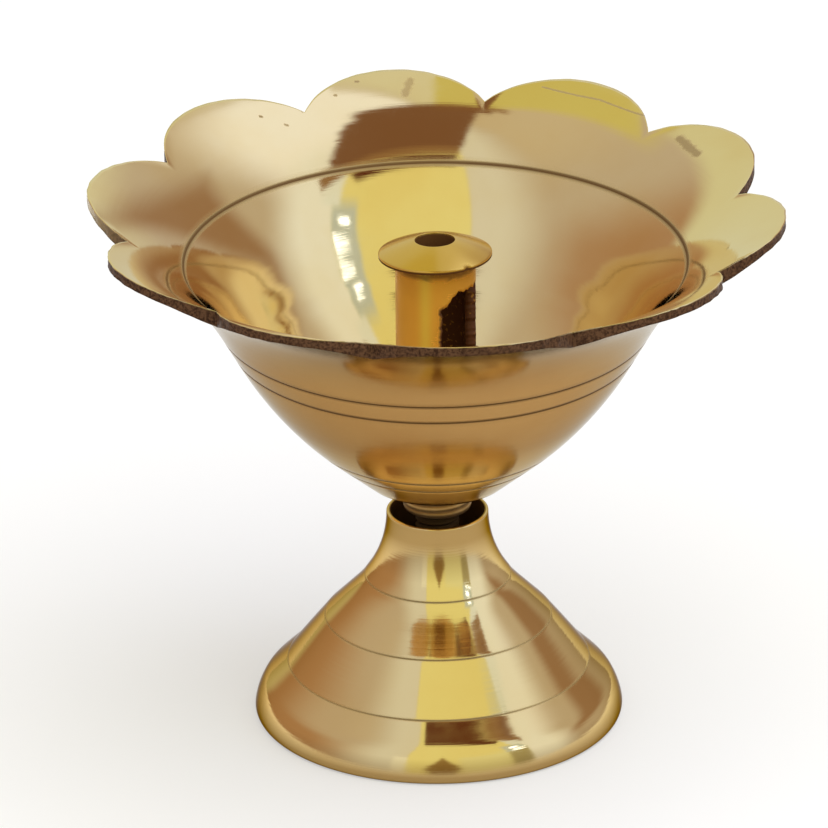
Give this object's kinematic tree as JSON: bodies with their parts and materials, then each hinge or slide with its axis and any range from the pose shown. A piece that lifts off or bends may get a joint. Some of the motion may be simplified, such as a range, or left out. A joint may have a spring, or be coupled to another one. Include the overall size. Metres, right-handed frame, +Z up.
{
  "type": "butter lamp",
  "caption": "Footed brass butter lamp: a flared bowl with a petalled rim on a hollow bell foot, and a capped wick tube that screws down in the bowl.",
  "frame": {"origin": "middle of the ring that the foot stands on", "axes": "+Z up along the stud, through the foot, the bowl and the wick hole; -Y towards the viewer, +X to the viewer's right"},
  "size_m": [0.0944, 0.0947, 0.0748],
  "materials": {
    "bowl_brass": "polished, with a raw sawn rim edge",
    "foot_brass": "polished",
    "wick_brass": "turned and polished",
    "thread_brass": "dull, tarnished in the threads",
    "seal_fibre": "oil-soaked fibre"
  },
  "bodies": {
    "foot": {"foot": "foot_brass", "tie_stud": "thread_brass", "bowl_collar": "thread_brass", "neck_nut": "thread_brass", "foot_washer": "thread_brass", "foot_nut": "thread_brass"},
    "bowl": {"bowl": "bowl_brass"},
    "seal": {"seal_washer": "seal_fibre"},
    "wick_tube": {"wick_tube": "wick_brass"},
    "wick_cap": {"wick_cap": "wick_brass"}
  },
  "joints": [
    {"name": "bowl_turn", "type": "hinge", "parent": "foot", "child": "bowl", "pos_m": [0, 0, 0.0345], "axis": [0, 0, 1], "continuous": true},
    {"name": "wick_tube_rise", "type": "slide", "parent": "foot", "child": "seal", "axis": [0, 0, 1], "range_m": [0, 0.0071]},
    {"name": "wick_tube_turn", "type": "hinge", "parent": "seal", "child": "wick_tube", "pos_m": [0, 0, 0.0375], "axis": [0, 0, 1], "range_deg": [0, 2520]},
    {"name": "wick_cap_lift", "type": "slide", "parent": "wick_tube", "child": "wick_cap", "axis": [0, 0, 1], "range_m": [0, 0.02]}
  ],
  "couplings": [
    {"joint": "wick_tube_rise", "follows": "wick_tube_turn", "m_per_rad": 0.00015915}
  ]
}
